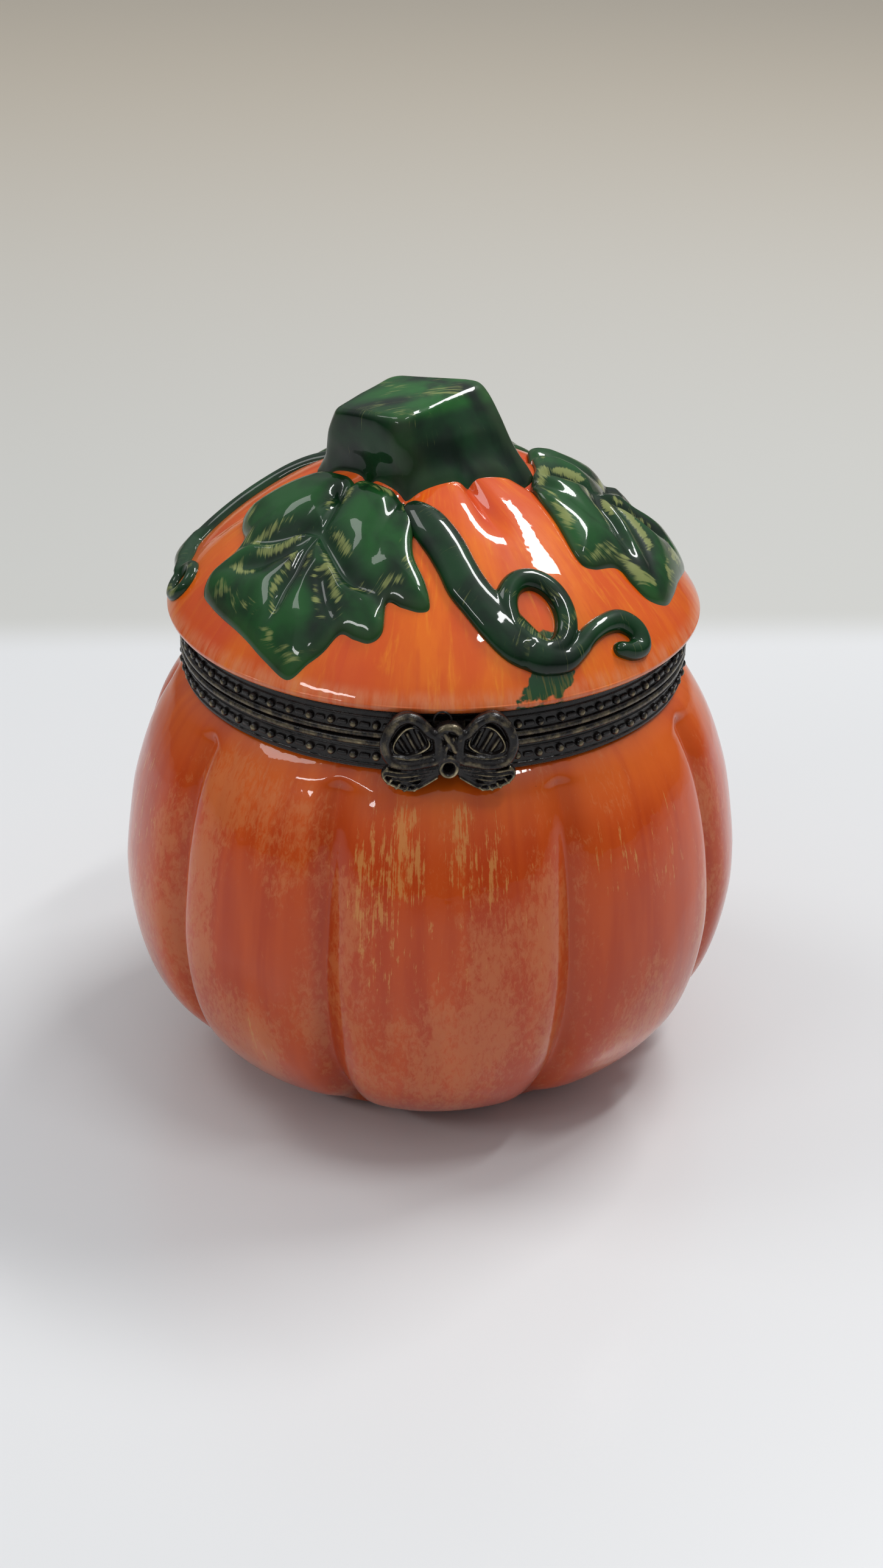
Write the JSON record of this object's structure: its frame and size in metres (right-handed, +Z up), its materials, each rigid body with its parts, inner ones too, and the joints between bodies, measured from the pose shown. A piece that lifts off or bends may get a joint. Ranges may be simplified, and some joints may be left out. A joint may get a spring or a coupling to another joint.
{
  "type": "trinket box",
  "caption": "Lobed pumpkin-shaped glazed porcelain trinket box with a domed hinged lid, beaded brass rims, leaf and vine relief, a square stem and a bow clasp.",
  "frame": {"origin": "centre of the flat foot, on the surface that the box stands on", "axes": "+Z up; -Y towards the front, where the bow clasp is; +Y towards the hinge; +X to the right seen from the front"},
  "size_m": [0.0638, 0.0638, 0.0725],
  "materials": {
    "base_glaze": "gloss red-orange glaze with dry-brushed ochre streaks",
    "lid_glaze": "gloss orange glaze with brushed yellow streaks",
    "green_glaze": "gloss deep green glaze with pale dry-brushed veins",
    "antique_brass": "blackened antique brass, worn bright on the raised edges",
    "cement": "matt grey cement, hidden"
  },
  "bodies": {
    "base": {"base_shell": "base_glaze", "base_cement": "cement", "base_bezel": "antique_brass", "base_bead_rim": "antique_brass", "clasp_bracket": "antique_brass", "bow_clasp": "antique_brass", "base_hinge_knuckles": "antique_brass", "hinge_pin": "antique_brass"},
    "lid": {"lid_shell": "lid_glaze", "lid_cement": "cement", "lid_bezel": "antique_brass", "lid_bead_rim": "antique_brass", "lid_hinge_knuckle": "antique_brass", "catch_tongue": "antique_brass", "stem": "green_glaze", "leaf_front": "green_glaze", "leaf_right": "green_glaze", "leaf_back": "green_glaze", "vine_front": "green_glaze", "vine_left": "green_glaze"}
  },
  "joints": [
    {"name": "lid_hinge", "type": "hinge", "parent": "base", "child": "lid", "pos_m": [0, 0.02655, 0.04665], "axis": [-1, 0, 0], "range_deg": [0, 100]}
  ]
}
